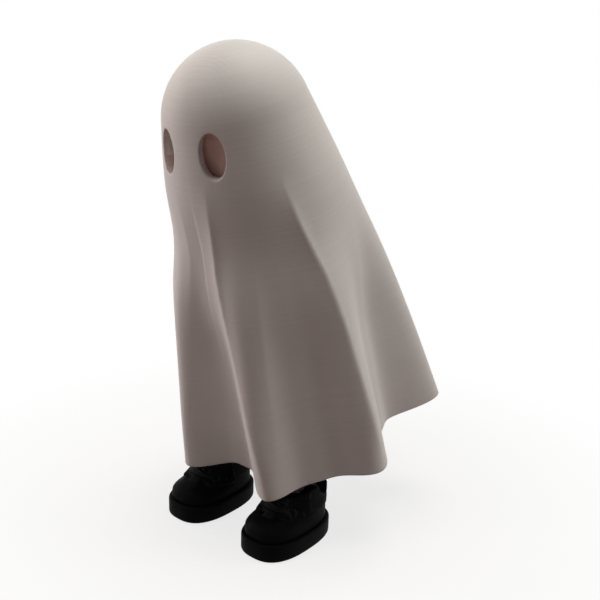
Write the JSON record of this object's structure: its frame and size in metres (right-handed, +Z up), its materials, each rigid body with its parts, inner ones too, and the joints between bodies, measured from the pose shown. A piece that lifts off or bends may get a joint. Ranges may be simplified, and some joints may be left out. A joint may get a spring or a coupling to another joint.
{
  "type": "articulated ghost figurine",
  "caption": "Free-standing draped-sheet ghost with oval eye holes: a lift-off folded shell over a jointed body with a turning head and hinged legs in lace-up boots.",
  "frame": {"origin": "on the floor, under the middle of the figurine's outer box", "axes": "+Z up, the face and the toes point to -Y, the ghost's own left is +X"},
  "size_m": [0.0732, 0.0896, 0.1351],
  "materials": {
    "sheet": "white printed plastic with fine level print lines",
    "limbs": "white printed plastic",
    "head": "pale salmon printed plastic",
    "boots": "black printed plastic",
    "laces": "black printed plastic"
  },
  "bodies": {
    "torso": {"torso": "limbs", "pelvis": "limbs", "neck_peg": "limbs", "hip_pin_left": "limbs", "hip_pin_right": "limbs"},
    "head": {"inner_head": "head"},
    "sheet": {"sheet": "sheet"},
    "thigh_left": {"thigh_left": "limbs", "knee_pin_left": "limbs"},
    "thigh_right": {"thigh_right": "limbs", "knee_pin_right": "limbs"},
    "shin_left": {"shin_left": "limbs"},
    "shin_right": {"shin_right": "limbs"},
    "boot_left": {"boot_upper_left": "boots", "boot_sole_left": "boots", "boot_laces_left": "laces", "pull_tab_left": "boots", "ankle_pin_left": "boots"},
    "boot_right": {"boot_upper_right": "boots", "boot_sole_right": "boots", "boot_laces_right": "laces", "pull_tab_right": "boots", "ankle_pin_right": "boots"}
  },
  "joints": [
    {"name": "head_turn", "type": "hinge", "parent": "torso", "child": "head", "pos_m": [0, 0.00052, 0.0245], "axis": [0, -0.2756, 0.9613], "range_deg": [-15, 15]},
    {"name": "sheet_lift", "type": "slide", "parent": "head", "child": "sheet", "axis": [0, -0.2756, 0.9613], "range_m": [0, 0.12]},
    {"name": "hip_left", "type": "hinge", "parent": "torso", "child": "thigh_left", "pos_m": [0.0147, -0.00817, 0.0657], "axis": [1, 0, 0], "range_deg": [-2, 30]},
    {"name": "hip_right", "type": "hinge", "parent": "torso", "child": "thigh_right", "pos_m": [-0.0147, -0.00817, 0.0657], "axis": [1, 0, 0], "range_deg": [-2, 30]},
    {"name": "knee_left", "type": "hinge", "parent": "thigh_left", "child": "shin_left", "pos_m": [0.0147, -0.01345, 0.0381], "axis": [1, 0, 0], "range_deg": [0, 45]},
    {"name": "knee_right", "type": "hinge", "parent": "thigh_right", "child": "shin_right", "pos_m": [-0.0147, -0.01345, 0.0381], "axis": [1, 0, 0], "range_deg": [0, 45]},
    {"name": "ankle_left", "type": "hinge", "parent": "shin_left", "child": "boot_left", "pos_m": [0.0147, -0.01508, 0.0106], "axis": [1, 0, 0], "range_deg": [-10, 20]},
    {"name": "ankle_right", "type": "hinge", "parent": "shin_right", "child": "boot_right", "pos_m": [-0.0147, -0.01508, 0.0106], "axis": [1, 0, 0], "range_deg": [-10, 20]}
  ]
}
